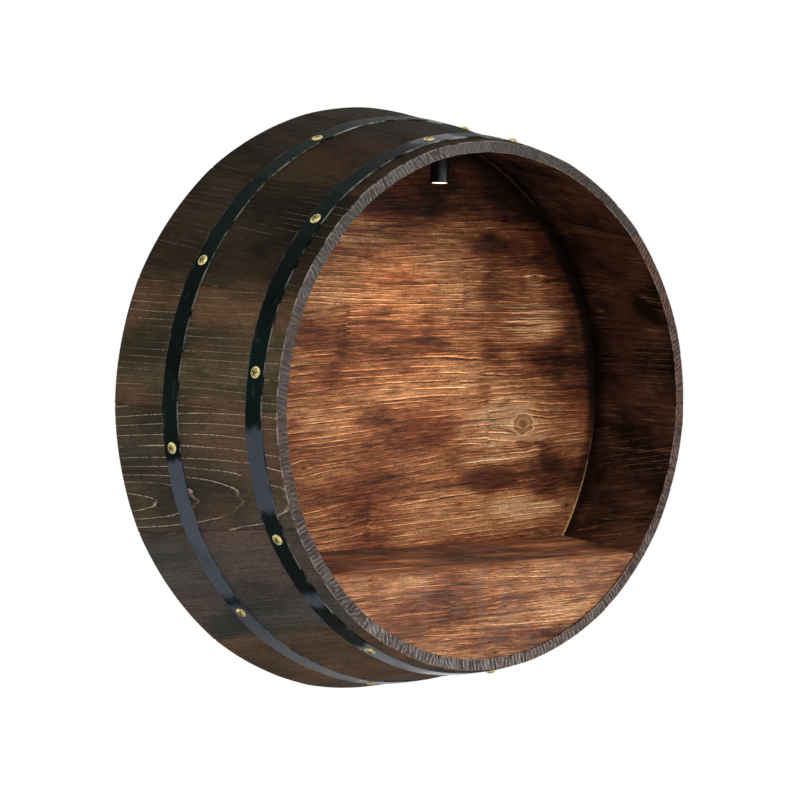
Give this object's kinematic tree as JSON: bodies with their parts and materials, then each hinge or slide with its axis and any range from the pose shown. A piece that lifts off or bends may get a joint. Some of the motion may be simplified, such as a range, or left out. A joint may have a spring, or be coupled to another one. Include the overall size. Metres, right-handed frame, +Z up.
{
  "type": "wall-mounted barrel cabinet",
  "caption": "Wall-hung display cabinet shaped like the front half of a stave barrel, with hoops, a shelf above a closed front and a small adjustable spotlight.",
  "frame": {"origin": "centre of the back, in the wall plane on the axis of the barrel, on the rear face of the middle batten", "axes": "+Z up, +Y into the wall, -Y out of the open front, +X to the right seen from the front"},
  "size_m": [0.5996, 0.2, 0.599],
  "materials": {
    "stave_wood": "charred and brushed, dark oiled",
    "panel_wood": "burnt pine, brushed, satin",
    "shelf_wood": "burnt pine, brushed, satin",
    "hidden_wood": "raw pine",
    "hoop_steel": "black paint, satin",
    "brass_screws": "yellow plated",
    "plated_steel": "zinc plated",
    "lamp_black": "black, semi-gloss",
    "lamp_plastic": "white moulding",
    "led_white": "white solder mask",
    "lamp_lens": "clear",
    "lead_black": "matt sheath",
    "clip_plastic": "black moulding"
  },
  "bodies": {
    "cabinet": {"stave_01": "stave_wood", "stave_02": "stave_wood", "stave_03": "stave_wood", "stave_04": "stave_wood", "stave_05": "stave_wood", "stave_06": "stave_wood", "stave_07": "stave_wood", "stave_08": "stave_wood", "stave_09": "stave_wood", "stave_10": "stave_wood", "stave_11": "stave_wood", "stave_12": "stave_wood", "stave_13": "stave_wood", "stave_14": "stave_wood", "stave_15": "stave_wood", "panel_board_1": "panel_wood", "panel_board_2": "panel_wood", "panel_board_3": "panel_wood", "panel_board_4": "panel_wood", "shelf": "shelf_wood", "shelf_fascia": "shelf_wood", "left_batten": "hidden_wood", "middle_batten": "hidden_wood", "right_batten": "hidden_wood", "rear_cleat": "hidden_wood", "front_cleat": "hidden_wood", "front_hoop": "hoop_steel", "rear_hoop": "hoop_steel", "front_hoop_screws": "brass_screws", "rear_hoop_screws": "brass_screws", "panel_screws": "plated_steel", "hanger_screws": "plated_steel", "cleat_screws": "plated_steel", "shelf_screws": "plated_steel", "canopy_screws": "plated_steel", "left_hanger_plate": "plated_steel", "right_hanger_plate": "plated_steel", "lamp_canopy": "lamp_black", "lamp_lead": "lead_black", "lead_clips": "clip_plastic", "socket_clip": "clip_plastic", "power_socket": "clip_plastic"},
    "lamp_swivel": {"swivel_yoke": "lamp_black", "swivel_retainer": "plated_steel", "pivot_pin": "plated_steel"},
    "lamp_head": {"lamp_housing": "lamp_black", "led_board": "led_white", "lens_holder": "lamp_plastic", "lamp_lens": "lamp_lens", "lamp_bezel": "lamp_black"}
  },
  "joints": [
    {"name": "lamp_pan", "type": "hinge", "parent": "cabinet", "child": "lamp_swivel", "pos_m": [0, -0.1025, 0.24908], "axis": [0, 0, 1], "range_deg": [-170, 170]},
    {"name": "lamp_tilt", "type": "hinge", "parent": "lamp_swivel", "child": "lamp_head", "pos_m": [0, -0.1025, 0.24908], "axis": [1, 0, 0], "range_deg": [-45, 45]}
  ]
}
